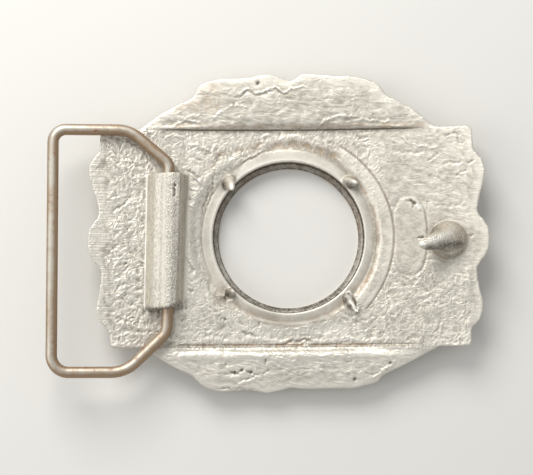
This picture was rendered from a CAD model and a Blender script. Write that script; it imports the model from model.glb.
"""Looks of a cast pewter belt buckle blank, lying face down with its back to the viewer.

The casting is cut from the frame's own solid: its copy gets the horn and the bent prongs, is merged
into one even skin, and takes the wrinkles, file strokes, pits and folds of the real casting. The
belt loop is a bent wire swept along its centre line.
"""

import math

import bmesh
import bpy
import numpy as np
from mathutils import Matrix, Vector


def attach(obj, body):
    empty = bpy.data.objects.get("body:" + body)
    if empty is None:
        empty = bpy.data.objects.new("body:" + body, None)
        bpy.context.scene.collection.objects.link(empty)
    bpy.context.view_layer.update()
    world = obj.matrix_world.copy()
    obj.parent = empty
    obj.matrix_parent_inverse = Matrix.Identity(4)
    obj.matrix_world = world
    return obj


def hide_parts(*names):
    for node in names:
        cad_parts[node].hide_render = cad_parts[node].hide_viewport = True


bl_info = {
    "name": "Cast Belt Buckle Blank",
    "version": (1, 0, 0),
    "blender": (4, 5, 0),
    "location": "View3D > Sidebar > Buckle",
    "description": "Makes the skin of a cast pewter buckle blank and its wire loop, with a stage",
    "category": "Object",
}

MM = 0.001

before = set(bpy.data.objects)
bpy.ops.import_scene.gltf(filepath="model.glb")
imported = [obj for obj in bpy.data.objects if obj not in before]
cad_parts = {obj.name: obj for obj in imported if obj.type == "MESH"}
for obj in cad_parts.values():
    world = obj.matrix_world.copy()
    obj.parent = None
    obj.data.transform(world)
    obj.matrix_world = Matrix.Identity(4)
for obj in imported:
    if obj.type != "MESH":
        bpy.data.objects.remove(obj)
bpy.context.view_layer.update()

# Sizes that the casting and the loop share with the solids, in millimetres. Places are measured from
# the banner's middle line, which lies SEAT_Y below the coin hole's axis, the origin.
SEAT_Y = 0.25
BACK_Z = 3.5
BEND_R = 185.0
SEAT_R = 15.45
RING_R = 17.9
RING_Z = 3.75
STEP_ARC_R = 21.3
HINGE_X, HINGE_Z = -24.25, 6.9
BARREL_TOP_Y, BARREL_BOTTOM_Y = 12.95, -14.3
BORE_R = 1.2
WIRE_R = 1.13
LOOP_LIFT = math.radians(8)
# Where the bevels of the upper and the lower wing meet the banner
UPPER_SEAM_Y, LOWER_SEAM_Y = 22.25, -21.85

# The photo's scale at the ring's face, in millimetres a pixel, and its width in pixels
PHOTO_SCALE = 0.2036
PHOTO_WIDTH = 533
# The skin is thinned out to this many triangles
SKIN_TRIANGLES = 192000

# The hook from its round foot to the worn tip of its horn: x, y, z, radius
HOOK = (
    (32.2, -0.9, 4.6, 4.15), (32.2, -0.9, 5.4, 3.95), (32.2, -0.9, 6.1, 3.6), (32.15, -0.85, 6.8, 3.2),
    (32.0, -0.8, 7.5, 2.85), (31.6, -0.85, 8.2, 2.6), (31.1, -0.95, 8.8, 2.4), (30.4, -1.05, 9.4, 2.15),
    (29.5, -1.25, 10.1, 1.9), (28.3, -1.6, 10.8, 1.6), (27.0, -2.0, 11.5, 1.22), (26.3, -2.12, 11.85, 0.92),
    (25.95, -2.14, 12.0, 0.65), (25.7, -2.15, 12.05, 0.3),
)
# The seam that the mould left along the horn's lower side
HOOK_SEAM = ((28.2, -2.95, 11.4), (28.9, -3.05, 11.1), (30.4, -3.15, 10.2), (31.2, -3.1, 9.6))

# The barrel's section round the hinge axis: x and z, from the foot's left corner up and over
BARREL_SECTION = (
    (-4.6, -2.9), (-4.6, -1.0), (-3.6, 0.4), (-2.75, 1.4), (-0.35, 2.55), (0.9, 2.62), (2.3, 2.15),
    (2.85, 0.9), (3.15, -0.5), (3.8, -2.9),
)
BARREL_LEAN = 0.02
OPEN_BORE_R = 1.4

# The prongs as they are bent: foot x and y, tip x, y and z, width and thickness at the foot
PRONGS = (
    (-12.4, 12.1, -11.2, 9.8, 6.4, 3.2, 2.0),
    (11.9, 11.5, 14.0, 11.2, 5.8, 2.9, 2.3),
    (11.0, -11.3, 13.5, -14.95, 5.3, 2.0, 1.5),
    (-12.4, -11.3, -11.2, -10.6, 5.2, 2.4, 1.5),
)
# The cartouche: middle x and y, half width and half height
MARK = 24.42, 0.3, 3.48, 7.74

# The wire's centre line in the plane of the loop: distance from the hinge, y, bend radius
WIRE = (
    (0, 4, 0), (0, 12.4, 8), (-0.3, 14.95, 2.2), (7.7, 21.75, 6.5), (23, 21.65, 2.6),
    (23, -26.75, 3.4), (8.5, -26.85, 7), (0.4, -19.1, 3.2), (0, -13.2, 8), (0, -5, 0),
)

# Small pits in the skin: x, y, radius, depth
PITS = (
    (-13.0, -16.3, 0.24, 0.22), (-6.0, 31.9, 0.36, 0.25), (-10.9, 27.6, 0.26, 0.18),
    (-11.0, -27.1, 0.3, 0.25), (-9.6, -26.6, 0.28, 0.25), (-7.8, -27.0, 0.3, 0.25), (-12.8, -25.5, 0.22, 0.2),
    (-4.8, -25.0, 0.25, 0.2), (13.0, -28.6, 0.35, 0.25), (20.2, -25.4, 0.3, 0.22), (12.4, -24.6, 0.25, 0.15),
    (21.9, -9.1, 0.25, 0.15), (17.5, 25.2, 0.2, 0.12),
    # Down the barrel
    (-22.75, 10.5, 0.17, 0.4), (-22.68, 10.2, 0.2, 0.5), (-22.95, 9.7, 0.2, 0.5), (-22.75, 9.25, 0.2, 0.45),
    (-22.7, 8.7, 0.18, 0.45), (-22.85, 8.2, 0.2, 0.45),
    # At the top of the cartouche
    (25.0, 7.3, 0.2, 0.25), (25.65, 6.8, 0.27, 0.35), (25.3, 6.1, 0.16, 0.25),
)

# Dark sides of the prongs and the horn: middle x and y, radius, and how dark
SHADES = (
    (-13.4, 11.0, 0.9, 0.9), (12.2, 10.2, 1.3, 1.0), (11.2, 10.4, 0.9, 0.9), (-13.0, -11.6, 1.3, 1.0),
    (29.4, 1.2, 1.3, 0.6), (10.9, -11.6, 0.9, 1.0), (11.5, -12.7, 0.85, 1.0), (12.2, -13.8, 0.7, 1.0),
)

# Folds, seams and scratches in the skin, by what they share: half width, height, negative for a furrow, how
# stained and how grimy. Then come their paths, each as x, y, x, y and so on in tenths of a millimetre.
FOLDS = (
    (0.2, 0.09, 0, 0, (
        (-45, 185, -61, 176, -78, 168, -90, 161),)),
    (0.2, 0.13, 0, 0, (
        (-26, -264, -14, -251, -4, -243), (-14, -252, 0, -249, 10, -249, 16, -241),)),
    (0.2, 0.14, 0, 0, (
        (-352, 48, -336, 59, -322, 72),)),
    (0.2, 0.15, 0, 0, (
        (-200, 134, -188, 125, -174, 112),)),
    (0.2, 0.16, 0, 0, (
        (-341, 147, -330, 145, -321, 142, -314, 151, -308, 160, -305, 170), (-320, 126, -313, 141, -308, 155),
        (-319, 125, -308, 117, -296, 112), (-347, 127, -344, 120, -341, 114),)),
    (0.2, 0.18, 0, 0, (
        (-369, -39, -363, -44, -357, -48), (-355, -74, -351, -64, -345, -50),)),
    (0.22, 0.14, 0, 0, (
        (-244, 204, -247, 208, -236, 212, -216, 210, -209, 204), (-207, 241, -189, 241, -173, 236),)),
    (0.22, 0.15, 0, 0, (
        (-210, 194, -196, 193, -173, 190, -159, 180, -145, 176),)),
    (0.22, 0.16, 0, 0, (
        (-353, -152, -341, -154, -336, -144),)),
    (0.22, 0.18, 0, 0, (
        (-351, -120, -341, -116, -332, -108, -327, -98), (-111, 292, -97, 299, -85, 308, -72, 305, -60, 300,
         -50, 300, -40, 308, -23, 311, -13, 305, -3, 299, 8, 307, 26, 312, 42, 310),)),
    (0.22, 0.2, 0, 0, (
        (-182, 118, -176, 111), (-202, 70, -194, 66, -184, 58),)),
    (0.25, 0.12, 0, 0, (
        (-359, 159, -329, 137), (-180, -186, -130, -194),)),
    (0.25, 0.14, 0, 0, (
        (-156, 242, -138, 257, -122, 269, -107, 276, -91, 272, -73, 265), (-233, 229, -219, 239, -207, 246,
         -195, 251, -179, 254),)),
    (0.25, 0.15, 0, 0, (
        (-67, 203, -57, 209, -44, 212, -32, 213),)),
    (0.25, 0.16, 0, 0, (
        (233, 207, 245, 196, 253, 187, 263, 179), (249, 192, 269, 186, 289, 182, 305, 181), (298, 135,
         307, 124, 321, 109),)),
    (0.25, 0.18, 0, 0, (
        (-337, -170, -320, -174, -304, -181, -276, -182), (63, 229, 74, 239, 87, 245, 113, 252, 127, 247,
         142, 253),)),
    (0.3, 0.05, 0, 0, (
        (298, 46, 335, 39, 380, 33),)),
    (0.3, 0.1, 0, 0, (
        (50, -266, 130, -272),)),
    (0.3, 0.18, 0, 0, (
        (133, 242, 164, 241, 188, 238, 222, 236),)),
    (0.3, 0.2, 0, 0, (
        (260, 63, 266, 55),)),
    (0.35, 0.15, 0, 0, (
        (-56, -278, -84, -288, -108, -298),)),
    (0.35, 0.16, 0, 0, (
        (158, -286, 180, -276, 196, -262, 216, -250),)),
    (0.16, -0.4, 0, 1, (
        (258, -4, 274, -2),)),
    (0.16, -0.18, 0, 0.35, (
        (150, -275, 164, -275, 178, -275),)),
    (0.2, -0.25, 0, 0.3, (
        (361, 148, 375, 152),)),
    (0.2, -0.22, 0, 0.4, (
        (-336, -67, -328, -64, -322, -56),)),
    (0.2, -0.2, 0, 0.4, (
        (-316, -63, -308, -58), (-334, -53, -326, -49),)),
    (0.2, -0.2, 0, 0.45, (
        (-45, -240, -47, -248, -50, -255),)),
    (0.2, -0.2, 0, 0.5, (
        (-100, -186, -82, -194, -68, -198),)),
    (0.2, -0.2, 0, 0.6, (
        (-3, -211, 9, -207, 27, -206, 43, -205),)),
    (0.2, -0.18, 0, 0.3, (
        (107, -249, 117, -250, 127, -250),)),
    (0.2, -0.15, 0, 0.3, (
        (-154, -302, -120, -303, -90, -304, -64, -308),)),
    (0.2, -0.14, 0, 0.1, (
        (-200, 169, -188, 164, -173, 161),)),
    (0.2, -0.14, 0, 0.15, (
        (-326, -110, -333, -124, -318, -134, -308, -130),)),
    (0.2, -0.12, 0, 0.25, (
        (-151, 100, -155, 89, -162, 79, -167, 67, -170, 54),)),
    (0.2, -0.12, 0.2, 0.15, (
        (-36, 185, -53, 176, -69, 168, -84, 160, -98, 151),)),
    (0.22, -0.22, 0, 0.4, (
        (-208, -36, -204, -48, -191, -68),)),
    (0.22, -0.2, 0, 0.2, (
        (-357, 52, -340, 63, -326, 78, -314, 87), (-371, -40, -357, -25, -344, -12),)),
    (0.22, -0.2, 0, 0.3, (
        (319, 205, 327, 208, 335, 209, 347, 207),)),
    (0.22, -0.2, 0, 0.4, (
        (-204, 104, -197, 99), (-204, 83, -199, 78),)),
    (0.22, -0.18, 0, 0.1, (
        (335, 120, 349, 127, 361, 133),)),
    (0.22, -0.16, 0, 0.05, (
        (314, 146, 332, 150, 353, 149),)),
    (0.22, -0.14, 0, 0.1, (
        (343, 203, 348, 190, 354, 188, 360, 193),)),
    (0.22, -0.14, 0, 0.15, (
        (-109, 287, -95, 294, -83, 303, -72, 300, -60, 294, -48, 295, -38, 303, -23, 306, -13, 299, -3, 295,
         7, 301),)),
    (0.25, -0.22, 0, 0.3, (
        (-206, 142, -198, 136, -188, 130, -178, 126),)),
    (0.25, -0.22, 0, 0.5, (
        (-124, -269, -108, -272, -94, -266, -74, -271),)),
    (0.25, -0.2, 0, 0.3, (
        (-207, -103, -191, -109), (358, 2, 372, 0),)),
    (0.25, -0.18, 0, 0.2, (
        (-208, -17, -202, -9, -194, -10),)),
    (0.25, -0.15, 0, 0.05, (
        (284, 154, 296, 163, 308, 169),)),
    (0.25, -0.15, 0.25, 0.15, (
        (-145, 145, -151, 137, -153, 126, -153, 112, -157, 100, -164, 89, -170, 77, -174, 63, -177, 46,
         -178, 26),)),
    (0.25, -0.08, 0, 0.1, (
        (290, 57, 306, 63, 334, 60, 346, 64, 356, 76),)),
    (0.28, -0.22, 0.3, 0.6, (
        (240, 75, 248, 75, 254, 69, 255, 62),)),
    (0.3, -0.25, 0, 0.6, (
        (-290, -155, -294, -145, -286, -141, -276, -143, -264, -141, -260, -151),)),
    (0.3, -0.16, 0.9, 0, (
        (-17, -216, 1, -211, 21, -209, 49, -206),)),
    (0.3, -0.14, 0, 0, (
        (-100, -288, -64, -276, -36, -264), (212, 179, 234, 174, 259, 172, 285, 174),)),
    (0.6, -0.14, 0.8, 0.1, (
        (-53, 199, -63, 197, -67, 189, -82, 184, -114, 177, -141, 170, -147, 164, -149, 155, -157, 145),)),
    (0.8, -0.12, 0.9, 0, (
        (-36, 188, -16, 191, 9, 193, 33, 191, 62, 183, 86, 173, 111, 160),)),
)

# Places of the back that are duller than the rest, or brighter where the last number is negative: middle
# x and y, half width, half height, and how much
TONES = (
    (0.0, 27.0, 17.0, 3.5, 0.35), (20.0, 25.5, 9.0, 3.0, 0.15), (28.0, 13.0, 10.0, 9.0, 0.22),
    (0.0, 20.0, 13.0, 1.6, -0.1), (-2.0, -19.8, 20.0, 1.8, -0.3), (2.0, -18.3, 9.0, 1.1, -0.7),
    (-4.0, -24.0, 24.0, 1.7, -0.7), (0.0, 16.8, 9.0, 1.0, 0.45), (24.4, 0.3, 3.4, 7.6, 0.3),
    (-33.0, 2.0, 5.0, 14.0, -0.15), (-28.1, -1.0, 0.8, 13.0, -0.3), (-25.8, -1.0, 1.1, 14.0, -0.1),
    (24.0, -13.0, 9.0, 8.0, 0.2), (-23.2, -1.0, 1.3, 14.0, 0.32), (-21.0, -1.0, 0.8, 13.0, -0.3),
    (10.0, 19.5, 6.0, 2.5, 0.2), (-21.5, 19.5, 4.0, 2.0, -0.2), (-27.8, -15.9, 1.7, 1.3, 0.6),
    (-19.0, 0.0, 1.4, 12.0, -0.7),
)


def hex_colour(text):
    """A hex sRGB colour as linear red, green, blue and alpha."""
    parts = [int(text[i:i + 2], 16) / 255 for i in (1, 3, 5)]
    return [p / 12.92 if p <= 0.04045 else ((p + 0.055) / 1.055) ** 2.4 for p in parts] + [1.0]


def add(tree, kind, links=None, **settings):
    """Adds a node, a shader node where the kind has no family, and gives its inputs their values or links."""
    node = tree.nodes.new(kind if "Node" in kind else "ShaderNode" + kind)
    for key, value in settings.items():
        setattr(node, key, value)
    for key, value in (links or {}).items():
        if isinstance(value, bpy.types.Node):
            value = value.outputs[0]
        if isinstance(value, bpy.types.NodeSocket):
            tree.links.new(value, node.inputs[key])
        else:
            node.inputs[key].default_value = value
    return node


def new_material(name):
    """A material, its empty node tree, and the socket that gives the place on the piece."""
    material = bpy.data.materials.new(name)
    material.use_nodes = True
    material.node_tree.nodes.clear()
    return material, material.node_tree, add(material.node_tree, "TexCoord").outputs["Object"]


def finish_material(tree, colour, rough, relief):
    """Metal of the colour and roughness, with its relief in metres."""
    bump = add(tree, "Bump", {"Height": relief, "Distance": 1.0, "Strength": 1.0})
    shader = add(tree, "BsdfPrincipled", {"Metallic": 0.85, "Base Color": colour, "Roughness": rough, "Normal": bump})
    add(tree, "OutputMaterial", {"Surface": shader})


def new_group(name, inputs):
    """A geometry node tree with its number inputs, and the sockets that it is given."""
    tree = bpy.data.node_groups.new(name, "GeometryNodeTree")
    tree.interface.new_socket("Geometry", in_out="INPUT", socket_type="NodeSocketGeometry")
    for label in inputs:
        tree.interface.new_socket(label, in_out="INPUT", socket_type="NodeSocketFloat")
    tree.interface.new_socket("Geometry", in_out="OUTPUT", socket_type="NodeSocketGeometry")
    return tree, add(tree, "NodeGroupInput").outputs


def finish_group(tree, geometry, material):
    """Gives the geometry its material and sends it out."""
    real = add(tree, "GeometryNodeRealizeInstances", {"Geometry": geometry})
    dressed = add(tree, "GeometryNodeSetMaterial", {"Geometry": real, "Material": material})
    add(tree, "NodeGroupOutput", {"Geometry": dressed})


def plain_mesh(obj):
    """The object's evaluated shape as a mesh, with its modifiers taken off."""
    graph = bpy.context.evaluated_depsgraph_get()
    mesh = bpy.data.meshes.new_from_object(obj.evaluated_get(graph))
    old = obj.data
    obj.modifiers.clear()
    if obj.type == "MESH":
        obj.data = mesh
        bpy.data.meshes.remove(old)
    return mesh


def new_object(name, mesh):
    obj = bpy.data.objects.new(name, mesh)
    bpy.context.scene.collection.objects.link(obj)
    return obj


def corners(mesh):
    """The vertices of a mesh in millimetres, measured from the banner's middle line."""
    flat = np.empty(len(mesh.vertices) * 3)
    mesh.vertices.foreach_get("co", flat)
    return flat.reshape(-1, 3) / MM + (0, SEAT_Y, 0)


def set_corners(mesh, points):
    mesh.vertices.foreach_set("co", ((points - (0, SEAT_Y, 0)) * MM).astype(np.float32).ravel())
    mesh.update()


def normals(mesh):
    flat = np.empty(len(mesh.vertices) * 3, np.float32)
    mesh.vertex_normals.foreach_get("vector", flat)
    return flat.reshape(-1, 3).astype(float)


def store(mesh, name, values):
    """Keeps one number for each vertex, which nodes read by name."""
    if name in mesh.attributes:
        mesh.attributes.remove(mesh.attributes[name])
    kept = mesh.attributes.new(name, "FLOAT", "POINT")
    kept.data.foreach_set("value", np.ascontiguousarray(values, np.float32))


def ramp(values, low, high):
    """A smooth step from 0 at low to 1 at high."""
    t = np.clip((values - low) / (high - low), 0, 1)
    return t * t * (3 - 2 * t)


def bell(distance, half_width):
    """1 at no distance, running out on either side."""
    return np.exp(-(distance / half_width) ** 2)


def within(distance, low, high):
    """1 where the distance, on either side, is under low, and 0 where it is over high."""
    return 1 - ramp(np.abs(distance), low, high)


def spot(p, x, y, radius):
    """1 at a place of the back, running out at the radius."""
    return bell(np.hypot(p["x"] - x, p["y"] - y), radius)


def banner_z(x):
    """Height of the banner's back before its skin is wrinkled."""
    return BACK_Z + BEND_R - np.sqrt(BEND_R ** 2 - x * x)


def swept_bar(points, radii, sides, squash=1.0, broad=None):
    """A closed bar through the points. squash makes it thinner across its broad direction."""
    made = bmesh.new()
    points = [Vector(p) for p in points]
    rings = []
    for i, (point, radius) in enumerate(zip(points, radii)):
        way = (points[min(i + 1, len(points) - 1)] - points[max(i - 1, 0)]).normalized()
        side = Vector(broad).normalized() if broad is not None else way.orthogonal().normalized()
        other = way.cross(side).normalized()
        rings.append([made.verts.new((point + float(radius) * (
            side * math.cos(2 * math.pi * k / sides)
            + other * squash * math.sin(2 * math.pi * k / sides))) * MM) for k in range(sides)])
    for low, high in zip(rings, rings[1:]):
        for k in range(sides):
            made.faces.new((low[k], low[(k + 1) % sides], high[(k + 1) % sides], high[k]))
    made.faces.new(rings[0][::-1])
    made.faces.new(rings[-1])
    bmesh.ops.recalc_face_normals(made, faces=made.faces)
    return made


def smooth_rows(rows, steps):
    """Points on a smooth curve through the rows, whatever each row's numbers mean."""
    rows = np.array(rows, float)
    padded = np.vstack([2 * rows[0] - rows[1], rows, 2 * rows[-1] - rows[-2]])
    out = []
    for a, b, c, d in zip(padded, padded[1:], padded[2:], padded[3:]):
        for t in np.arange(steps) / steps:
            out.append(b + t * (c - a) / 2 + t * t * (2 * a - 5 * b + 4 * c - d) / 2
                       + t ** 3 * (3 * b - 3 * c + d - a) / 2)
    return np.vstack([out, rows[-1]])


def barrel_sleeve():
    """The hinge barrel as a closed sleeve round its bore, with worn ends."""
    made = bmesh.new()
    outline = []
    for a, b in zip(BARREL_SECTION, BARREL_SECTION[1:] + BARREL_SECTION[:1]):
        count = max(2, int(math.hypot(b[0] - a[0], b[1] - a[1]) / 0.3))
        outline += [(a[0] + (b[0] - a[0]) * k / count, a[1] + (b[1] - a[1]) * k / count) for k in range(count)]
    rows = [(BARREL_BOTTOM_Y, 0.93), (BARREL_BOTTOM_Y + 0.15, 0.97), (BARREL_BOTTOM_Y + 0.5, 1.0),
            (BARREL_TOP_Y - 0.35, 1.0), (BARREL_TOP_Y - 0.1, 0.985), (BARREL_TOP_Y, 0.96)]
    outer, inner = [], []
    for y, share in rows:
        outer_ring, inner_ring = [], []
        for x, z in outline:
            # The lower right end is knocked round
            knocked = 0.0
            if y < BARREL_BOTTOM_Y + 0.6:
                knocked = 1.5 * max(0.0, x - 0.2) / 3.4 + 0.12 * math.sin(5 * x) + 0.1 * math.sin(11 * x + 1)
            lean = BARREL_LEAN * y - 0.006 * max(0.0, x) * (BARREL_TOP_Y - y)
            outer_ring.append(made.verts.new(((HINGE_X + x * share + lean) * MM, (y + knocked) * MM,
                                              (HINGE_Z + z * share) * MM)))
            angle = math.atan2(z, x)
            inner_ring.append(made.verts.new(((HINGE_X + OPEN_BORE_R * math.cos(angle)) * MM,
                                              (y + knocked * 0.4) * MM,
                                              (HINGE_Z + OPEN_BORE_R * math.sin(angle)) * MM)))
        outer.append(outer_ring)
        inner.append(inner_ring)
    count = len(outline)
    for k in range(count):
        n = (k + 1) % count
        for low, high in zip(range(len(rows) - 1), range(1, len(rows))):
            made.faces.new((outer[low][k], outer[low][n], outer[high][n], outer[high][k]))
            made.faces.new((inner[low][n], inner[low][k], inner[high][k], inner[high][n]))
        made.faces.new((outer[0][n], outer[0][k], inner[0][k], inner[0][n]))
        made.faces.new((outer[-1][k], outer[-1][n], inner[-1][n], inner[-1][k]))
    bmesh.ops.recalc_face_normals(made, faces=made.faces)
    return made


def length(name, text, default, low, high):
    """A length setting, with its numbers in millimetres."""
    return bpy.props.FloatProperty(name=name, description=text, default=default * MM, min=low * MM,
                                   max=high * MM, unit="LENGTH", precision=5)


def number(name, text, default, low, high, unit="NONE"):
    """A setting that is a plain number, an angle or a power."""
    return bpy.props.FloatProperty(name=name, description=text, default=default, min=low, max=high, unit=unit)


def colour(name, text, default):
    """A colour setting, as hex text."""
    return bpy.props.StringProperty(name=name, description=text, default=default)


class BuckleCastingSettings(bpy.types.PropertyGroup):
    """Sizes and colours of the cast skin."""
    mesh_step: length("Mesh step", "Edge length of the casting's even skin", 0.2, 0.15, 0.6)
    wrinkle_height: length("Wrinkle height", "Height of the wrinkles that the mould left", 0.21, 0.0, 0.8)
    wrinkle_size: length("Wrinkle size", "Distance from one wrinkle to the next", 2.2, 0.8, 5.0)
    grain_height: length("Grain height", "Height of the grain on the barrel's crown", 0.14, 0.0, 0.4)
    pattern_offset: number("Pattern offset", "Moves the wrinkles to another stretch of the same pattern",
                           3.7, 0.0, 100.0)
    stroke_spacing: length("File stroke spacing", "Distance between the file strokes at the two ends",
                           0.45, 0.3, 1.2)
    stroke_depth: length("File stroke depth", "Depth of the file strokes at the two ends", 0.04, 0.0, 0.2)
    pale: colour("Pewter", "Colour of the bare cast metal", "#d9d3c6")
    dull: colour("Dull pewter", "Colour of the metal in its hollows", "#857e71")
    worn: colour("Worn pewter", "Colour of rubbed edges and tips", "#f4f1e8")
    stain: colour("Tan stain", "Colour of the old polish in the seams", "#a8927a")
    grime: colour("Grime", "Colour of the dark seams and pits", "#5b5348")


class BuckleLoopSettings(bpy.types.PropertyGroup):
    """Sizes and colours of the wire loop."""
    wire_radius: length("Wire radius", "Radius of the loop's wire", WIRE_R, 0.9, 1.2)
    steel: colour("Steel", "Colour of the bright drawn wire", "#c2bbad")
    tarnish: colour("Tarnish", "Colour of the browned wire", "#a48c72")
    rust: colour("Rust", "Colour of the rust specks", "#93523c")


class BuckleStageSettings(bpy.types.PropertyGroup):
    """The camera's place, the lights and the floor."""
    camera_distance: length("Camera distance", "Distance from the casting to the camera", 260, 100, 2000)
    camera_tilt: number("Camera tilt", "How far the camera stands off the vertical, towards -Y",
                        math.radians(5.5), 0.0, 1.5, "ROTATION")
    camera_roll: number("Camera roll", "How far the casting lies turned in the picture",
                        math.radians(0.43), -1.0, 1.0, "ROTATION")
    key_power: number("Key light", "Power of the soft light above the upper edge", 1.2, 0.0, 50.0, "POWER")
    fill_power: number("Fill light", "Power of the wide light at the left", 0.35, 0.0, 50.0, "POWER")
    room_light: number("Room light", "Strength of the even light of the room", 0.62, 0.0, 5.0)
    floor: colour("Floor", "Colour of the plain floor", "#d9d6cf")


def casting_solid(settings):
    """The frame's casting with the real horn, barrel and prongs, merged into one even skin."""
    made = bmesh.new()
    made.from_mesh(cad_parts["buckle_casting"].data)
    bmesh.ops.remove_doubles(made, verts=made.verts, dist=0.001 * MM)
    for vert in made.verts:
        x, y, z = (c / MM for c in vert.co)
        y += SEAT_Y
        from_axis = math.hypot(x - HINGE_X, z - HINGE_Z)
        along_barrel = BARREL_BOTTOM_Y - 0.5 < y < BARREL_TOP_Y + 0.5
        if along_barrel and abs(from_axis - BORE_R) < 0.02:
            # The bore is opened a little, so that the wire stays clear of it once the skin is merged
            x = HINGE_X + (x - HINGE_X) * OPEN_BORE_R / from_axis
            z = HINGE_Z + (z - HINGE_Z) * OPEN_BORE_R / from_axis
        elif along_barrel and abs(x - HINGE_X) < 4.3 and z > banner_z(x) - 0.2:
            # The solid's barrel draws back into the fuller sleeve
            y = y * (0.9 if y < 0 else 0.97)
            x = HINGE_X + (x - HINGE_X) * 0.75
            z = HINGE_Z + (z - HINGE_Z) * 0.8 if z > banner_z(x) + 0.5 else z
        in_mark = abs(x - MARK[0]) < MARK[2] + 0.3 and abs(y - MARK[1]) < MARK[3] + 0.3
        if in_mark and 0.1 < z - banner_z(x) < 0.4:
            z -= 0.2
        near_prong = any(math.hypot(x - row[0], y - row[1]) < 4.5 for row in PRONGS)
        if near_prong and z > banner_z(x) + 0.3 and math.hypot(x, y - SEAT_Y) < RING_R + 3 and z > RING_Z + 0.05:
            # The straight prongs of the solid sink into the ring, and the bent ones take their place
            z = RING_Z - 0.3
        vert.co = x * MM, y * MM, z * MM
    hook = smooth_rows(HOOK, 4)
    parts = [made, barrel_sleeve(), swept_bar(hook[:, :3], hook[:, 3], 48, broad=(0, 1, 0)),
             swept_bar(HOOK_SEAM, (0.15, 0.3, 0.3, 0.15), 12)]
    for foot_x, foot_y, tip_x, tip_y, tip_z, wide, thick in PRONGS:
        share = np.linspace(0, 1, 9)
        lean = share ** 1.5
        points = np.stack([foot_x + (tip_x - foot_x) * lean, foot_y + (tip_y - foot_y) * lean,
                           RING_Z - 1.2 + (tip_z - RING_Z + 1.2) * share], 1)
        radii = wide / 2 * np.sqrt(np.clip(1.02 - share ** 2.2, 0.05, 1))
        # The broad side of a prong faces the hole
        parts.append(swept_bar(points, radii, 24, thick / wide, (-foot_y, foot_x, 0.0)))
    joined = bmesh.new()
    for part in parts:
        held = bpy.data.meshes.new("part")
        part.to_mesh(held)
        part.free()
        joined.from_mesh(held)
        bpy.data.meshes.remove(held)
    bmesh.ops.translate(joined, verts=joined.verts, vec=(0, -SEAT_Y * MM, 0))
    whole = bpy.data.meshes.new("casting_parts")
    joined.to_mesh(whole)
    joined.free()
    obj = new_object("pewter_casting", whole)
    merge = obj.modifiers.new("Even skin", "REMESH")
    merge.mode = "VOXEL"
    merge.voxel_size = settings.mesh_step
    merge.use_smooth_shade = True
    plain_mesh(obj)
    return obj


def fold_weight(x, y, path, half_width):
    """1 on the path and 0 away from it, running out at its two ends."""
    path = np.reshape(path, (-1, 2)) / 10
    weight = np.zeros(len(x))
    low, high = np.min(path, 0) - 1.5, np.max(path, 0) + 1.5
    near = (x > low[0]) & (x < high[0]) & (y > low[1]) & (y < high[1])
    x, y = x[near], y[near]
    broken = 0.66 + 0.2 * np.sin(1.9 * x - 1.3 * y) + 0.14 * np.sin(4.7 * x + 3.9 * y)
    # A fold wanders a little from its path
    x, y = x + 0.14 * np.sin(2.1 * y + 0.7 * x), y + 0.14 * np.sin(2.3 * x - 0.5 * y)
    x, y = x + 0.07 * np.sin(6.1 * y), y + 0.07 * np.sin(5.7 * x)
    nearest = np.full(len(x), 1e3)
    along = np.zeros(len(x))
    steps = len(path) - 1
    for i, (a, b) in enumerate(zip(path, path[1:])):
        dx, dy = b[0] - a[0], b[1] - a[1]
        share = np.clip(((x - a[0]) * dx + (y - a[1]) * dy) / (dx * dx + dy * dy), 0, 1)
        distance = np.hypot(x - a[0] - share * dx, y - a[1] - share * dy)
        closer = distance < nearest
        nearest[closer] = distance[closer]
        along[closer] = (i + share[closer]) / steps
    weight[near] = bell(nearest, half_width) * broken * np.sqrt(np.clip(6 * along * (1 - along), 0, 1) + 0.03)
    return weight


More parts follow.
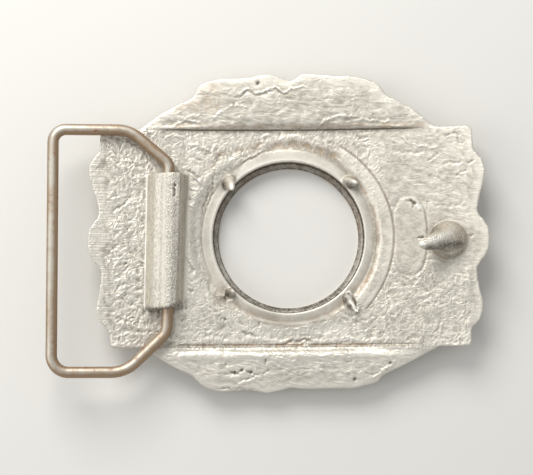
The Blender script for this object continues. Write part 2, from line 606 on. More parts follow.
def places(mesh, ups):
    """Each point's place, its distance and turn round the hole, and weights from 0 to 1 for where it lies."""
    x, y, z = corners(mesh).T
    r = np.hypot(x, y - SEAT_Y)
    turn = np.degrees(np.arctan2(y - SEAT_Y, x))
    back = ramp(ups, 0.15, 0.6) * ramp(z, 1.9, 2.6)
    ring = 1 - ramp(r, RING_R - 0.2, RING_R + 0.5)
    from_hinge = x - HINGE_X - BARREL_LEAN * y
    barrel = ramp(from_hinge, -5.1, -4.5) * (1 - ramp(from_hinge, 3.8, 4.3)) \
        * ramp(y, BARREL_BOTTOM_Y - 0.3, BARREL_BOTTOM_Y) * (1 - ramp(y, BARREL_TOP_Y, BARREL_TOP_Y + 0.3))
    hook = 1 - ramp(np.hypot(x - HOOK[0][0], y - HOOK[0][1]), 3.9, 4.5)
    hook = np.maximum(hook, ramp(z - banner_z(x), 2.6, 3.2) * (x > 20))
    prong = np.zeros_like(x)
    for row in PRONGS:
        middle = (row[0] + row[2]) / 2, (row[1] + row[3]) / 2
        prong = np.maximum(prong, (1 - ramp(np.hypot(x - middle[0], y - middle[1]), 1.6, 2.6))
                           * ramp(z, RING_Z + 0.25, RING_Z + 0.7))
    edge_wobble = 0.5 * np.sin(y * 0.9) + 0.3 * np.sin(y * 2.3 + 1)
    filed_left = 1 - ramp(x + edge_wobble, -36.4, -34.6)
    filed_right = ramp(x + edge_wobble, 35.2, 37.0)
    filed = np.maximum(filed_left, filed_right) * ramp(y, -21.5, -20.5) * (1 - ramp(y, 17.6, 18.4))
    wing = ramp(np.abs(y), 22.0, 23.2)
    # The rim is the strip of 1 mm along the outer edges, found by how much wall lies near
    rim = 1 - ramp(neighbour_mean(mesh, (ups > 0.3).astype(float), 30), 0.72, 0.97)
    from_mark = (np.abs((x - MARK[0]) / MARK[2]) ** 2.5 + np.abs((y - MARK[1]) / MARK[3]) ** 2.5) ** 0.4
    uneven_edge = 0.03 * np.sin(2.2 * y) + 0.02 * np.sin(5 * y + x)
    mark = (1 - ramp(from_mark + uneven_edge, 0.9, 1.06)) * ramp(x, 20.8, 21.5)
    step_arc = ramp(turn, -46, -40) * (1 - ramp(turn, 55, 62))
    band = step_arc * (1 - ramp(r, STEP_ARC_R - 0.1, STEP_ARC_R + 0.2))
    return dict(x=x, y=y, z=z, r=r, turn=turn, back=back, ring=ring, barrel=barrel, hook=hook, prong=prong,
                filed=filed, wing=wing, mark=mark, from_mark=from_mark, step_arc=step_arc, band=band, rim=rim)


def mould_marks(p):
    """Height that the mould's seams, folds, pits and scratches add to the back, in millimetres."""
    x, y, r = p["x"], p["y"], p["r"]
    height = np.zeros_like(x)
    free = p["back"] * (1 - p["barrel"]) * (1 - p["hook"]) * (1 - p["prong"])
    # A thin burr round the seat's rim, and the rough groove round the left and upper part of the ring
    height += 0.03 * bell(r - SEAT_R - 0.25, 0.2)
    turn = np.radians(p["turn"])
    round_left = ramp(np.cos(turn - math.radians(150)), -0.35, 0.35)
    uneven = 0.5 + 0.3 * np.sin(7 * turn + 1) + 0.3 * np.sin(11 * turn) + 0.2 * np.sin(19 * turn + 2)
    groove = 18.8 + 0.3 * np.sin(5 * turn) + 0.2 * np.sin(13 * turn + 1)
    height -= 0.05 * bell(r - groove, 0.6) * round_left * uneven
    height += 0.1 * bell(r - groove - 1.3, 0.7) * round_left * (1.2 - uneven)
    # The banner runs down to the ring on the left and up to it at the bottom
    slope = ramp(r, 17.3, 18.3) * (1 - ramp(r, 18.2, 20.8))
    height -= 0.8 * np.maximum(0, banner_z(x) - RING_Z) * slope * ramp(-x, 8, 12)
    height += 0.1 * ramp(r, 17.0, 18.2) * (1 - ramp(r, 18.2, 20.2)) * ramp(-y, 10, 15)
    # The raised band outside the ring on the right, and the thin seam round it
    height += 0.16 * ramp(r, 18.2, 19.0) * p["band"]
    height -= 0.14 * bell(r - STEP_ARC_R - 0.1, 0.18) * p["step_arc"]
    # The seam where a wing's bevel meets the banner
    seam = np.minimum(np.abs(y - UPPER_SEAM_Y), np.abs(y - LOWER_SEAM_Y))
    height -= 0.12 * bell(seam, 0.22) * within(x + 0.5, 26, 28.5)
    height += 0.1 * bell(y + 20.7 - 0.3 * np.sin(0.7 * x), 0.5) * within(x, 16, 26)
    # The upper wing rises steeply from its seam, then runs out
    height += (0.1 * bell(y - 22.7, 0.4) - 0.12 * bell(y - 23.8, 0.8)) * within(x + 0.5, 23, 28)
    height += (0.16 * bell(y + 23.9, 0.8) - 0.2 * bell(y + 22.6, 0.45)) * within(x, 20, 26)
    # The cartouche stands a little proud, with a furrow along its lower right
    height += 0.11 * p["mark"]
    height -= bell(p["from_mark"] - 1.04, 0.05) * (0.04 + 0.08 * ramp(x - 0.4 * y, 22, 27)) * ramp(x, 20.8, 21.5)
    for half_width, rise, _, _, paths in FOLDS:
        for path in paths:
            height += rise * fold_weight(x, y, path, half_width)
    height *= free
    for pit_x, pit_y, radius, depth in PITS:
        height -= depth * spot(p, pit_x, pit_y, radius) * p["back"]
    return height


def lower_flank(mesh, p):
    """1 on the rough band along the horn's lower side, which fades into the foot."""
    x, y = p["x"], p["y"]
    from_seam = p["z"] - 11.3 + 0.6 * (x - 28.2)
    side = ramp(-normals(mesh)[:, 1], 0.1, 0.5) * bell(from_seam, 1.4) * ramp(x, 26.3, 27.5) * (1 - ramp(x, 30, 32))
    low = bell(y + 2.6 - 0.1 * (x - 28), 0.75) * ramp(x, 28.5, 30) * (1 - ramp(x, 34, 35.5)) * (p["z"] > 6.5)
    return p["hook"] * np.maximum(side, 0.85 * low)


def keep_weights(mesh, p):
    """The weights that the skin's nodes and its material read."""
    calm = np.clip(p["ring"] + p["barrel"] + p["hook"] + p["prong"], 0, 1)
    x, y = p["x"], p["y"]
    middle = 0.64 + 0.7 * (1 - ramp(x, -29, -27)) + 0.15 * ramp(-y, 12, 18)
    middle -= 0.08 * ramp(x, -21.5, -20) * within(y, 12, 17)
    right = 0.55 + 0.85 * ramp(-y, -2, 8)
    banner = middle + (right - middle) * ramp(x, 15, 22)
    # The wings' ends and outer strips are smoother than their middles
    wing = np.where(y > 0, 0.62, 1.05 - 0.05 * ramp(x, -2, 8)) * (1 - 0.85 * p["rim"])
    wing *= (1 - 0.3 * ramp(np.abs(x + 2), 12, 17)) * (1 - 0.6 * ramp(np.abs(y - 1.2), 28.6, 30.2))
    side = banner + (wing - banner) * p["wing"]
    side *= 0.9 + 0.3 * np.sin(0.55 * x + 1.3 * np.sin(0.37 * y)) * np.sin(0.6 * y + 1.1 * np.sin(0.31 * x + 1))
    wrinkle = p["back"] * (1 - calm) * side * (1 - 0.85 * p["filed"]) * (1 - 0.75 * p["mark"])
    groove = bell(p["r"] - 19.3, 1.4) * ramp(p["turn"], 40, 55) * (1 - ramp(p["turn"], 100, 115))
    wrinkle *= (1 - 0.65 * p["band"]) * (1 - 0.6 * groove)
    store(mesh, "wrinkle", wrinkle)
    store(mesh, "stretch", p["wing"])
    store(mesh, "broad", ramp(x, 15, 24) * (1 - p["wing"]) * (1 - 0.8 * ramp(-y, 4, 9)))
    streaks = p["hook"] * ramp(p["z"], 6.5, 8.5)
    from_hinge = x - HINGE_X - BARREL_LEAN * y
    drawn = np.maximum(ramp(from_hinge, 1.9, 2.3), 0.55 * (1 - ramp(from_hinge, -1.6, -0.4)))
    drawn *= p["barrel"] * ramp(p["z"] - banner_z(x), 0.4, 0.8)
    store(mesh, "drawn", drawn)
    filed = np.maximum(p["filed"] * p["back"] * np.where(x < 0, 0.7, 0.25), streaks)
    store(mesh, "filed", np.maximum(filed, drawn))
    crown = ramp(from_hinge, -0.6, -0.2) * (1 - 0.5 * ramp(from_hinge, 2.2, 2.6))
    horn = np.maximum(lower_flank(mesh, p), ramp(p["z"], 7, 9))
    grainy = p["barrel"] * (0.3 + 0.7 * crown) + p["hook"] * (0.5 + 0.5 * horn)
    store(mesh, "grainy", np.minimum(1, grainy) * ramp(p["z"] - banner_z(x), 0.2, 0.8))
    store(mesh, "calm", np.maximum.reduce([calm, 0.6 * p["mark"], 0.6 * p["band"], p["wing"] * p["rim"]]))


def flowing(tree, where, angle):
    """The places stretched to twice their length along a line that runs down to the right by the angle."""
    turned = add(tree, "VectorRotate", {"Vector": where, "Angle": angle}, rotation_type="Z_AXIS")
    return add(tree, "VectorMath", {0: turned, 1: (0.5, 1.1, 1.0)}, operation="MULTIPLY")


def crumpled(tree, where, size, facets):
    """Crumpled skin, from about 0 to 1: soft crests, and by the share of facets flat ones with sharp edges."""
    scale = add(tree, "Math", {0: 1.0, 1: size}, operation="DIVIDE")
    far = add(tree, "Math", {0: scale, 1: 0.55}, operation="MULTIPLY")
    warp = add(tree, "TexNoise", {"Vector": where, "Scale": far, "Detail": 1.0})
    centred = add(tree, "VectorMath", {0: warp.outputs["Color"], 1: (-0.5, -0.5, -0.5)}, operation="ADD")
    reach = add(tree, "VectorMath", {0: centred, "Scale": size}, operation="SCALE")
    bent = add(tree, "VectorMath", {0: reach, 1: (2.6, 2.6, 0.0), 2: where}, operation="MULTIPLY_ADD")
    crests = add(tree, "TexNoise", {
        "Vector": bent, "Scale": scale, "Detail": 1.5, "Roughness": 0.5, "Lacunarity": 2.2,
        "Offset": 1.0, "Gain": 1.6}, noise_type="RIDGED_MULTIFRACTAL", normalize=False)
    even = add(tree, "MapRange", {"Value": crests, "From Min": 0.2, "From Max": 2.4})
    edges = add(tree, "TexVoronoi", {"Vector": bent, "Scale": scale, "Detail": 0.6, "Roughness": 0.5},
                feature="DISTANCE_TO_EDGE", voronoi_dimensions="2D")
    foil = add(tree, "MapRange", {"Value": edges, "From Max": 0.45, "To Min": 1.0, "To Max": 0.0})
    return add(tree, "Mix", {"Factor": facets, "A": even, "B": foil}, data_type="FLOAT")


def skin_tree(material):
    """Nodes that raise the wrinkles and the barrel's grain on the back."""
    tree, given = new_group("Cast skin", ("Wrinkle Height", "Wrinkle Size", "Grain Height", "Pattern Offset"))
    weights = {name: add(tree, "GeometryNodeInputNamedAttribute", {"Name": name}, data_type="FLOAT")
               for name in ("wrinkle", "stretch", "broad", "grainy")}
    shift = add(tree, "Math", {0: given["Pattern Offset"], 1: 0.1}, operation="MULTIPLY")
    place = add(tree, "VectorMath", {0: add(tree, "GeometryNodeInputPosition"), 1: shift}, operation="ADD")
    folded = crumpled(tree, place, given["Wrinkle Size"], 0.65)
    # On the right the folds are longer and broader, and on the wings finer, and both run along the casting
    for weight, share, angle in (("broad", 1.2, 0.4), ("stretch", 0.85, 0.0)):
        size = add(tree, "Math", {0: given["Wrinkle Size"], 1: share}, operation="MULTIPLY")
        folded = add(tree, "Mix", {
            "Factor": weights[weight], "A": folded,
            "B": crumpled(tree, flowing(tree, place, angle), size, 0.5)}, data_type="FLOAT")
    # Broad swells, the rough mould's grain on the barrel's crown, and a ripple in every face
    swell, grain, ripple = (
        add(tree, "TexNoise", {"Vector": place, "Scale": 1 / (size * MM), "Detail": detail})
        for size, detail in ((7, 1.0), (0.7, 2.0), (3.5, 2.0)))
    level = add(tree, "Math", {0: swell, 1: 1.2, 2: folded}, operation="MULTIPLY_ADD")
    level = add(tree, "Math", {0: level, 1: 0.9}, operation="SUBTRACT")
    raised = add(tree, "Math", {0: level, 1: weights["wrinkle"]}, operation="MULTIPLY")
    height = add(tree, "Math", {0: raised, 1: given["Wrinkle Height"]}, operation="MULTIPLY")
    grains = add(tree, "Math", {0: grain, 1: 0.5}, operation="SUBTRACT")
    grains = add(tree, "Math", {0: grains, 1: weights["grainy"]}, operation="MULTIPLY")
    height = add(tree, "Math", {0: grains, 1: given["Grain Height"], 2: height}, operation="MULTIPLY_ADD")
    proud = add(tree, "Math", {0: ripple, 1: 0.5}, operation="SUBTRACT")
    proud = add(tree, "Math", {0: proud, 1: 0.08 * MM}, operation="MULTIPLY")
    out = add(tree, "VectorMath", {0: add(tree, "GeometryNodeInputNormal"), "Scale": proud}, operation="SCALE")
    offset = add(tree, "VectorMath", {0: add(tree, "CombineXYZ", {"Z": height}), 1: out}, operation="ADD")
    moved = add(tree, "GeometryNodeSetPosition", {"Geometry": given["Geometry"], "Offset": offset})
    finish_group(tree, moved, material)
    return tree


def run_tree(obj, tree, values):
    """Runs the nodes on the object with the named inputs, and keeps the result as its mesh."""
    made = obj.modifiers.new(tree.name, "NODES")
    made.node_group = tree
    for item in tree.interface.items_tree:
        if item.item_type == "SOCKET" and item.in_out == "INPUT" and item.name in values:
            made[item.identifier] = values[item.name]
    return plain_mesh(obj)


def smooth_where(obj, weights, rounds):
    """Rounds the skin off where the weights say, by a Smooth modifier on a vertex group."""
    group = obj.vertex_groups.new(name="rounding")
    for step in range(1, 11):
        found = np.nonzero(np.round(weights * 10).astype(int) == step)[0]
        if len(found):
            group.add(found.tolist(), step / 10, "REPLACE")
    rounded = obj.modifiers.new("Rounding", "SMOOTH")
    rounded.vertex_group = group.name
    rounded.factor = 0.5
    rounded.iterations = rounds
    plain_mesh(obj)
    obj.vertex_groups.clear()


def neighbour_mean(mesh, values, rounds):
    """Each value averaged with those of its neighbours, some rounds over."""
    ends = np.empty(len(mesh.edges) * 2, np.int64)
    mesh.edges.foreach_get("vertices", ends)
    a, b = ends.reshape(-1, 2).T
    count = np.bincount(np.concatenate([a, b]), minlength=len(values)) + 1
    for _ in range(rounds):
        total = values + np.bincount(a, values[b], len(values)) + np.bincount(b, values[a], len(values))
        values = total / count
    return values


class BUCKLE_OT_casting(bpy.types.Operator):
    """Makes the cast pewter body: banner, wings, coin seat, prongs, hinge barrel, hook and cartouche"""
    bl_idname = "buckle.casting"
    bl_label = "Pewter casting"

    def execute(self, context):
        settings = context.scene.buckle_casting
        obj = casting_solid(settings)
        # The feet of the hook and the barrel and the wings' bevels run softly into the banner
        x, y, z = corners(obj.data).T
        up = ramp(z, 1.9, 2.6)
        foot_hook = bell(np.hypot(x - HOOK[0][0], y - HOOK[0][1]) - 4.1, 0.6) * up * (z < banner_z(x) + 1.6)
        from_hinge = x - HINGE_X - BARREL_LEAN * y
        foot_barrel = np.maximum(bell(from_hinge - 3.9, 0.5), bell(from_hinge + 4.8, 0.25)) \
            * (y > BARREL_BOTTOM_Y) * (y < BARREL_TOP_Y) * (z < 6.5) * up
        bevel = np.maximum(bell(y - 23.7, 0.9), bell(y + 23.3, 0.9)) * up
        r = np.hypot(x, y - SEAT_Y)
        foot_ring = bell(r - RING_R, 0.7) * up * ramp(np.abs(x), 6, 12)
        everywhere = 0.2 * (1 - bell(r - SEAT_R, 0.6) * up)
        smooth_where(obj, np.maximum.reduce([foot_hook, foot_barrel, bevel, foot_ring, everywhere]), 12)
        smooth_where(obj, np.maximum(bell(r - RING_R - 0.2, 0.8) * up * ramp(np.abs(x), 6, 12), foot_hook), 20)

        mesh = obj.data
        points = corners(mesh)
        p = places(mesh, normals(mesh)[:, 2])
        points[:, 2] += mould_marks(p)
        set_corners(mesh, points)
        keep_weights(mesh, p)
        material = cast_pewter(settings)
        run_tree(obj, skin_tree(material), {
            "Wrinkle Height": settings.wrinkle_height, "Wrinkle Size": settings.wrinkle_size,
            "Grain Height": settings.grain_height, "Pattern Offset": settings.pattern_offset})

        mesh = obj.data
        mesh.calc_loop_triangles()
        thin = obj.modifiers.new("Fewer faces", "DECIMATE")
        thin.ratio = min(1.0, SKIN_TRIANGLES / len(mesh.loop_triangles))
        thin.use_collapse_triangulate = True
        mesh = plain_mesh(obj)
        p = places(mesh, neighbour_mean(mesh, normals(mesh)[:, 2], 8))
        keep_weights(mesh, p)
        keep_colours(mesh, p)
        mesh.materials.clear()
        mesh.materials.append(material)
        mesh.shade_smooth()
        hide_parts("buckle_casting")
        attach(obj, "casting")
        return {"FINISHED"}


def keep_colours(mesh, p):
    """The weights of hollows, rubbed places, stains and grime that the material reads."""
    x, y, z, r, turn, back, hook = (p[name] for name in ("x", "y", "z", "r", "turn", "back", "hook"))
    smooth_parts = np.clip(hook + p["prong"] + p["barrel"], 0, 1)
    # The front and its edges are clean
    behind = np.maximum(ramp(z - banner_z(x) + 2.5, 0.6, 1.4), r < SEAT_R + 0.05)
    on_face = within(r, 17.2, 17.7)
    along_wing = within(x - 1, 22, 28)

    near, wide = neighbour_mean(mesh, z, 3) - z, neighbour_mean(mesh, z, 14) - z
    hollow = np.clip((near / 0.03 + wide / 0.08) / 2, -1, 1)
    hollow *= (1 - 0.5 * ramp(x, 15, 24)) * (1 - 0.85 * smooth_parts)
    for middle_x, middle_y, half_width, half_height, amount in TONES:
        hollow += amount * np.exp(-((x - middle_x) / half_width) ** 4 - ((y - middle_y) / half_height) ** 4)
    # The groove over the ring and the foot of the upper wing are dull
    hollow += 0.5 * bell(r - 19.1, 1.0) * ramp(turn, 45, 60) * within(turn, 100, 110)
    hollow += 0.6 * bell(y - 22.8, 0.8) * along_wing
    # The ring is duller at the left and most of all at the bottom, and bright at the top but for its outer edge
    hollow += p["ring"] * (0.1 + 0.14 * ramp(-x, 8, 13) - 0.35 * ramp(y, 10, 14) * on_face)
    hollow += 0.5 * bell(r - RING_R, 0.45) * ramp(y, 8, 13)
    hollow += (0.35 + 0.6 * bell(x + 4.5, 4)) * ramp(-y, 9, 12) * on_face
    store(mesh, "hollow", np.clip(hollow, -1, 1) * back)
    store(mesh, "seam", bell(np.abs(y - 0.2) - 22.0, 1.2) * along_wing * back)

    # Old polish lies in the seams, round the ring, along the step, by the upper left edge and on the seat's wall
    stain = (0.9 * bell(y + 21.65, 0.3) * within(x - 2, 20, 24) + 0.6 * bell(y - 22.8, 0.6) * within(x - 2, 24, 28)
             + 0.4 * bell(r - 17.6, 0.9) * ramp(-y, 4, 12) + 0.7 * bell(r - 18.1, 0.35) * ramp(x, 8, 14)
             + 0.4 * bell(r - STEP_ARC_R, 0.3) * p["step_arc"] + 0.4 * ramp(y, 25, 27) * (1 - ramp(x, -15, -13))
             + 0.6 * within(r, SEAT_R, SEAT_R + 0.15) * (z > 0.7) * ramp(y + 0.4 * np.abs(x), 2, 9))
    grimy = np.zeros_like(x)
    for half_width, _, stained, dirty, paths in FOLDS:
        for path in paths if stained or dirty else ():
            near_fold = fold_weight(x, y, path, half_width * 1.2)
            stain = np.maximum(stain, stained * near_fold)
            grimy = np.maximum(grimy, dirty * near_fold)
    stain = np.maximum.reduce([stain * (1 - smooth_parts), 0.3 * hook, 0.7 * spot(p, -13.2, -11.6, 2.0),
                               0.35 * spot(p, -12.0, 11.0, 3.0) * p["prong"]])
    store(mesh, "stain", np.clip(stain, 0, 1) * behind)

    # Grime sits in the seat's step, under the horn, round the hook's foot, at the barrel's lower end and in pits
    in_seat = within(r, SEAT_R + 0.02, SEAT_R + 0.2) * (1 - ramp(z, RING_Z - 0.5, RING_Z - 0.1)) * (z > 0.7)
    ledge = 0.45 + 0.25 * ramp(-y, 7, 12) + 0.55 * np.maximum(bell(r - SEAT_R, 0.2), bell(r - 14.4, 0.15))
    from_foot = np.hypot(x - HOOK[0][0], y - HOOK[0][1])
    low_side = hook * ramp(HOOK[0][1] - y, 1.6, 2.4) * within(from_foot, 3.3, 4.0)
    left_side = bell(from_foot - 4.2, 0.4) * ramp(HOOK[0][0] - x, -1, 1) * back
    above_end = y - 0.4 * np.maximum(0, x - HINGE_X) - BARREL_BOTTOM_Y
    low_end = p["barrel"] * (1 - ramp(above_end, 0, 0.7)) * 0.75 * (0.6 + 0.4 * np.sin(9 * x + 3 * z))
    grime = [in_seat * np.minimum(1, ledge), lower_flank(mesh, p), grimy * back, low_end, 0.3 * left_side,
             0.35 * low_side * (z > banner_z(x) + 0.3) * (z < 8), 0.5 * spot(p, 11.0, 9.7, 0.9) * p["ring"]]
    grime += [spot(p, pit_x, pit_y, radius) * back for pit_x, pit_y, radius, depth in PITS if depth > 0.21]
    grime += [dark * spot(p, side_x, side_y, radius) * (z > RING_Z + 0.1)
              for side_x, side_y, radius, dark in SHADES]
    store(mesh, "grime", np.maximum.reduce(grime) * behind)

    # The prongs' tips are rubbed bright, and so are the lower right prong's edge, the horn's tip, back and seam,
    # a spot by the cartouche, the barrel's crown and left edge, and the seat's rim
    blade = bell(0.894 * (x - 11.9) + 0.447 * (y + 11.2), 0.3) * ramp(y, -14.5, -14) * (1 - ramp(y, -11.5, -11))
    horn_back = bell(y + 2.1 - (x - 26) * 0.42, 1.0) * (z > 7.5) * (1 - ramp(x, 31.5, 34))
    glint = bell(z - 11.5 + 0.6 * (x - 28.2), 0.3) * (y < -2.7) * ramp(x, 28.1, 29.2) * (1 - ramp(x, 30, 31.2))
    from_hinge = x - HINGE_X - BARREL_LEAN * y
    worn = [spot(p, row[2], row[3], 0.6) * ramp(z, RING_Z + 0.6, row[4] - 0.3) for row in PRONGS[:3]]
    worn += [spot(p, -11.2, -10.8, 0.35) * (z > RING_Z + 0.6), 0.9 * blade * (z > RING_Z + 0.3) * (x > 10),
             spot(p, 25.8, -2.1, 1.1) * (z > 10), 0.5 * horn_back, 0.65 * glint,
             0.8 * spot(p, 26.45, 6.1, 0.45) * (z < 6), 0.12 * bell(from_hinge + 1.5, 0.9) * p["barrel"],
             0.8 * bell(from_hinge + 4.55, 0.16) * p["barrel"],
             0.35 * bell(r - SEAT_R - 0.2, 0.16) * (z > RING_Z - 0.2) * ramp(y, -12, -8)]
    store(mesh, "worn", np.clip(np.maximum.reduce(worn), 0, 1) * behind)


def cast_pewter(settings):
    """Cast pewter, an alloy of tin: pale warm grey, satin, duller in its hollows and bright where rubbed."""
    material, tree, place = new_material("cast_pewter")
    kept = {name: add(tree, "Attribute", attribute_name=name).outputs["Fac"]
            for name in ("hollow", "stain", "grime", "worn", "calm", "wrinkle", "stretch", "broad", "filed",
                         "grainy", "seam", "drawn")}
    # Clouds, a fine mottle, the barrel's grains, pores and patches, by their size in millimetres
    cloud, mottle, grains, pores, patchy = (
        add(tree, "TexNoise", {"Vector": place, "Scale": 1 / (size * MM), "Detail": detail})
        for size, detail in ((6, 3.0), (0.5, 2.0), (0.35, 3.0), (0.35, 2.0), (1.6, 3.0)))

    # Folds too fine for the mesh, 1.1 mm apart, where the skin is wrinkled
    run = add(tree, "Math", {0: kept["stretch"], 1: kept["broad"]}, operation="ADD")
    folds = add(tree, "Mix", {
        "Factor": run, "A": crumpled(tree, place, 1.1 * MM, 0.6),
        "B": crumpled(tree, flowing(tree, place, 0.3), 1.1 * MM, 0.5)}, data_type="FLOAT")
    fine = add(tree, "Math", {0: kept["wrinkle"], 1: 0.6}, operation="POWER")
    free = add(tree, "Math", {0: kept["broad"], 1: -0.2, 2: 1.0}, operation="MULTIPLY_ADD")
    free = add(tree, "Math", {0: fine, 1: free}, operation="MULTIPLY")
    # File strokes that run along the casting at its two ends, and along the barrel on its flanks
    lay = add(tree, "Mix", {0: kept["drawn"], 4: (0.06, 1.45, 0.0), 5: (2.0, 0.06, 1.3)},
              data_type="VECTOR").outputs[1]
    across = add(tree, "VectorMath", {0: place, 1: lay}, operation="MULTIPLY")
    strokes = add(tree, "TexNoise", {"Vector": across, "Scale": 1 / settings.stroke_spacing,
                                     "Detail": 1.5, "Roughness": 0.6})

    # The metal is dull in clouds, in a fine mottle, in hollows and low folds, and between grains and strokes
    low_fold = add(tree, "MapRange", {"Value": folds, "From Max": 0.7, "To Min": 0.3, "To Max": -0.12})
    gaps = add(tree, "MapRange", {"Value": grains, "From Min": 0.5, "From Max": 0.36, "To Max": 0.4})
    streaked = add(tree, "MapRange", {"Value": strokes, "From Min": 0.4, "From Max": 0.6,
                                      "To Min": 0.35, "To Max": -0.25})
    dulled = -0.28
    for pattern, share in (
            (cloud, 0.6), (mottle, 0.3), (kept["hollow"], 0.5), (low_fold, free), (gaps, kept["grainy"]),
            (streaked, kept["drawn"])):
        dulled = add(tree, "Math", {0: pattern, 1: share, 2: dulled}, operation="MULTIPLY_ADD")
    broken = add(tree, "MapRange", {"Value": patchy, "From Min": 0.35, "From Max": 0.6})
    stained = add(tree, "Math", {0: kept["stain"], 1: broken}, operation="MULTIPLY")
    # Thin dark lines along the wings' seams, one above and two below, 0.25 mm wide, by their y from the origin
    height_y = add(tree, "SeparateXYZ", {0: place}).outputs["Y"]
    wander = add(tree, "Math", {0: patchy, 1: 0.25 * MM, 2: height_y}, operation="MULTIPLY_ADD")
    lines = 0.0
    for middle, strength in ((22.12, 0.8), (-21.62, 0.55), (-22.17, 0.55)):
        off = add(tree, "Math", {0: wander, 1: -middle * MM}, operation="ADD")
        off = add(tree, "Math", {0: off}, operation="ABSOLUTE")
        line = add(tree, "MapRange", {"Value": off, "From Min": 0.06 * MM, "From Max": 0.2 * MM,
                                      "To Min": strength, "To Max": 0.0})
        lines = add(tree, "Math", {0: lines, 1: line}, operation="MAXIMUM")
    seamed = add(tree, "Math", {0: lines, 1: kept["seam"]}, operation="MULTIPLY")
    uneven = add(tree, "MapRange", {"Value": mottle, "From Min": 0.35, "From Max": 0.65,
                                    "To Min": 0.65, "To Max": 1.2})
    grimy = add(tree, "Math", {0: kept["grime"], 1: uneven}, operation="MULTIPLY")
    grimy = add(tree, "Math", {0: grimy, 1: seamed}, operation="MAXIMUM")
    crests = add(tree, "MapRange", {"Value": grains, "From Min": 0.58, "From Max": 0.7, "To Max": 0.6})
    crests = add(tree, "Math", {0: crests, 1: kept["grainy"]}, operation="MULTIPLY")
    rubbed = add(tree, "Math", {0: kept["worn"], 1: crests}, operation="MAXIMUM")

    tone = hex_colour(settings.pale)
    for share, coat in (
            (dulled, settings.dull), (stained, settings.stain), (grimy, settings.grime), (rubbed, settings.worn)):
        tone = add(tree, "Mix", {0: share, 6: tone, 7: hex_colour(coat)}, data_type="RGBA").outputs[2]
    rough = 0.52
    for pattern, share in ((kept["hollow"], 0.08), (kept["worn"], -0.18), (mottle, 0.08)):
        rough = add(tree, "Math", {0: pattern, 1: share, 2: rough}, operation="MULTIPLY_ADD")
    # Fine folds, pores, grains and strokes, each with the weight that it follows, its depth and its least depth
    relief = 0.0
    for pattern, weight, depth, least in (
            (folds, free, 0.15 * MM, 0.0), (pores, kept["calm"], -0.002 * MM, 0.018 * MM),
            (grains, kept["grainy"], 0.19 * MM, 0.0), (strokes, kept["filed"], 3.6 * settings.stroke_depth, 0.0)):
        depth = add(tree, "Math", {0: weight, 1: depth, 2: least}, operation="MULTIPLY_ADD")
        relief = add(tree, "Math", {0: pattern, 1: depth, 2: relief}, operation="MULTIPLY_ADD")
    finish_material(tree, tone, rough, relief)
    return material


def tarnished_wire(settings):
    """Drawn steel wire: satin along its length, browned by age except on its rubbed top, with rust specks."""
    material, tree, place = new_material("tarnished_steel_wire")
    # Tarnish in clouds of 5 mm broken by streaks of 1.2 mm, and the fine marks of drawing
    cloud, streak, drawn = (
        add(tree, "TexNoise", {"Vector": place, "Scale": 1 / (size * MM), "Detail": detail})
        for size, detail in ((5, 3.0), (1.2, 3.0), (0.5, 2.0)))
    # The lower bar is browner than the upper one, and the flanks than the rubbed strip
    height_y = add(tree, "SeparateXYZ", {0: place}).outputs["Y"]
    lower = add(tree, "MapRange", {"Value": height_y, "From Min": 10 * MM, "From Max": -25 * MM, "To Max": 0.12})
    flank = add(tree, "Attribute", attribute_name="flank").outputs["Fac"]
    mixed = cloud
    for pattern, share in ((streak, 0.5), (lower, 1.0), (flank, 0.75)):
        mixed = add(tree, "Math", {0: pattern, 1: share, 2: mixed}, operation="MULTIPLY_ADD")
    browned = add(tree, "MapRange", {"Value": mixed, "From Min": 0.7, "From Max": 1.2})
    specks = add(tree, "TexNoise", {"Vector": place, "Scale": 1 / (1.2 * MM), "Detail": 3.0, "Roughness": 0.7})
    rusted = add(tree, "MapRange", {"Value": specks, "From Min": 0.62, "From Max": 0.7, "To Max": 0.8})
    tone, rough = hex_colour(settings.steel), 0.44
    for share, coat, dulling in ((browned, settings.tarnish, 0.08), (rusted, settings.rust, 0.25)):
        tone = add(tree, "Mix", {0: share, 6: tone, 7: hex_colour(coat)}, data_type="RGBA").outputs[2]
        rough = add(tree, "Math", {0: share, 1: dulling, 2: rough}, operation="MULTIPLY_ADD")
    relief = add(tree, "Math", {0: drawn, 1: 0.012 * MM}, operation="MULTIPLY")
    finish_material(tree, tone, rough, relief)
    return material


def wire_tree(material):
    """Nodes that round the corners of the wire's centre line and sweep the wire along it."""
    tree, given = new_group("Bent wire", ("Wire Radius",))
    bend = add(tree, "GeometryNodeInputNamedAttribute", {"Name": "bend"}, data_type="FLOAT")
    line = add(tree, "GeometryNodeMeshToCurve", {"Mesh": given["Geometry"]})
    rounded = add(tree, "GeometryNodeFilletCurve", {"Curve": line, "Count": 14, "Radius": bend}, mode="POLY")
    even = add(tree, "GeometryNodeResampleCurve", {"Curve": rounded, "Length": 0.35 * MM}, mode="LENGTH")
    section = add(tree, "GeometryNodeCurvePrimitiveCircle", {"Resolution": 28, "Radius": given["Wire Radius"]},
                  mode="RADIUS")
    swept = add(tree, "GeometryNodeCurveToMesh", {"Curve": even, "Profile Curve": section, "Fill Caps": True})
    place = add(tree, "GeometryNodeInputPosition")
    dents = add(tree, "TexNoise", {"Vector": place, "Scale": 1 / (4 * MM), "Detail": 2.0})
    depth = add(tree, "Math", {0: dents, 1: 0.5}, operation="SUBTRACT")
    depth = add(tree, "Math", {0: depth, 1: 0.035 * MM}, operation="MULTIPLY")
    offset = add(tree, "VectorMath", {0: add(tree, "GeometryNodeInputNormal"), "Scale": depth},
                 operation="SCALE")
    moved = add(tree, "GeometryNodeSetPosition", {"Geometry": swept, "Offset": offset})
    finish_group(tree, add(tree, "GeometryNodeSetShadeSmooth", {"Geometry": moved}), material)
    return tree


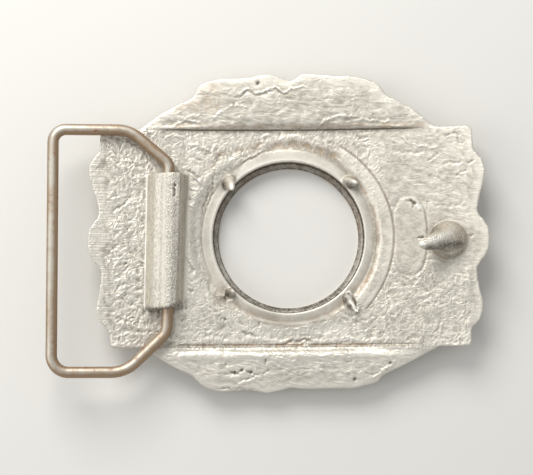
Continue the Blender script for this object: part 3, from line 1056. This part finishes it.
class BUCKLE_OT_loop(bpy.types.Operator):
    """Makes the bent wire loop that the belt is fastened to"""
    bl_idname = "buckle.loop"
    bl_label = "Wire loop"

    def execute(self, context):
        settings = context.scene.buckle_loop
        mesh = bpy.data.meshes.new("wire_centre_line")
        along = np.array([math.cos(LOOP_LIFT), 0, -math.sin(LOOP_LIFT)])
        points = [np.array([HINGE_X, y - SEAT_Y, HINGE_Z]) - reach * along for reach, y, _ in WIRE]
        mesh.from_pydata([tuple(point * MM) for point in points],
                         [(i, i + 1) for i in range(len(points) - 1)], [])
        store(mesh, "bend", [row[2] * MM for row in WIRE])
        obj = new_object("wire_loop", mesh)
        mesh = run_tree(obj, wire_tree(tarnished_wire(settings)), {"Wire Radius": settings.wire_radius})
        # The rubbed strip lies on top, a little towards the upper left
        above = normals(mesh) @ (math.sin(LOOP_LIFT) - 0.3, 0.22, 0.93)
        store(mesh, "flank", 1 - ramp(above, 0.5, 0.95))
        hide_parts("belt_loop")
        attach(obj, "loop")
        return {"FINISHED"}


class BUCKLE_OT_stage(bpy.types.Operator):
    """Sets the pale floor, the soft lights and the camera above the casting"""
    bl_idname = "buckle.stage"
    bl_label = "Stage"

    def execute(self, context):
        settings = context.scene.buckle_stage
        scene = context.scene
        # A floor of 4 m, just under the part
        half, low = 2.0, -0.02 * MM
        mesh = bpy.data.meshes.new("floor")
        mesh.from_pydata([(-half, -half, low), (half, -half, low), (half, half, low), (-half, half, low)],
                         [], [(0, 1, 2, 3)])
        floor = new_object("floor", mesh)
        paper = bpy.data.materials.new("pale_matte_floor")
        paper.use_nodes = True
        shader = paper.node_tree.nodes["Principled BSDF"]
        shader.inputs["Base Color"].default_value = hex_colour(settings.floor)
        shader.inputs["Roughness"].default_value = 0.9
        mesh.materials.append(paper)

        target = Vector((-4.5, 0.2 - SEAT_Y, 3.6)) * MM
        tilt, roll = settings.camera_tilt, settings.camera_roll
        back = Vector((0, -math.sin(tilt), math.cos(tilt)))
        right = Matrix.Rotation(-roll, 3, back) @ Vector((1, 0, 0))
        up = back.cross(right)
        lens = bpy.data.cameras.new("camera")
        lens.sensor_width = 36.0
        lens.lens = lens.sensor_width * (settings.camera_distance / MM / PHOTO_SCALE) / PHOTO_WIDTH
        lens.clip_start, lens.clip_end = 0.005, 20.0
        camera = new_object("camera", lens)
        turn = Matrix((right, up, back)).transposed().to_4x4()
        camera.matrix_world = Matrix.Translation(target + back * settings.camera_distance) @ turn
        scene.camera = camera

        for name, place, size, power in (
                ("key_light", (-110, 260, 260), 240, settings.key_power),
                ("fill_light", (-330, -40, 240), 300, settings.fill_power)):
            lamp = bpy.data.lights.new(name, "AREA")
            lamp.shape = "DISK"
            lamp.size = size * MM
            lamp.energy = power
            light = new_object(name, lamp)
            light.location = Vector(place) * MM
            light.rotation_euler = light.location.to_track_quat("Z", "Y").to_euler()
        world = bpy.data.worlds.new("room")
        scene.world = world
        world.use_nodes = True
        sky = world.node_tree.nodes["Background"]
        sky.inputs["Color"].default_value = (0.95, 0.97, 1.0, 1.0)
        sky.inputs["Strength"].default_value = settings.room_light
        scene.view_settings.view_transform = "Standard"
        return {"FINISHED"}


class BUCKLE_PT_panel(bpy.types.Panel):
    """Lists the pieces of the buckle blank"""
    bl_idname = "BUCKLE_PT_panel"
    bl_label = "Belt Buckle Blank"
    bl_space_type = "VIEW_3D"
    bl_region_type = "UI"
    bl_category = "Buckle"

    def draw(self, context):
        for heading, name, _, operator in PARTS:
            box = self.layout.box()
            box.label(text=heading)
            settings = getattr(context.scene, name)
            for setting in settings.__annotations__:
                box.prop(settings, setting)
            box.operator(operator.bl_idname)


PARTS = (("Casting", "buckle_casting", BuckleCastingSettings, BUCKLE_OT_casting),
         ("Wire loop", "buckle_loop", BuckleLoopSettings, BUCKLE_OT_loop),
         ("Stage", "buckle_stage", BuckleStageSettings, BUCKLE_OT_stage))


def register():
    for _, name, settings, operator in PARTS:
        bpy.utils.register_class(settings)
        bpy.utils.register_class(operator)
        setattr(bpy.types.Scene, name, bpy.props.PointerProperty(type=settings))
    bpy.utils.register_class(BUCKLE_PT_panel)


def unregister():
    bpy.utils.unregister_class(BUCKLE_PT_panel)
    for _, name, settings, operator in reversed(PARTS):
        delattr(bpy.types.Scene, name)
        bpy.utils.unregister_class(operator)
        bpy.utils.unregister_class(settings)


def main():
    register()
    bpy.ops.buckle.casting()
    bpy.ops.buckle.loop()
    bpy.ops.buckle.stage()


if __name__ == "__main__":
    main()
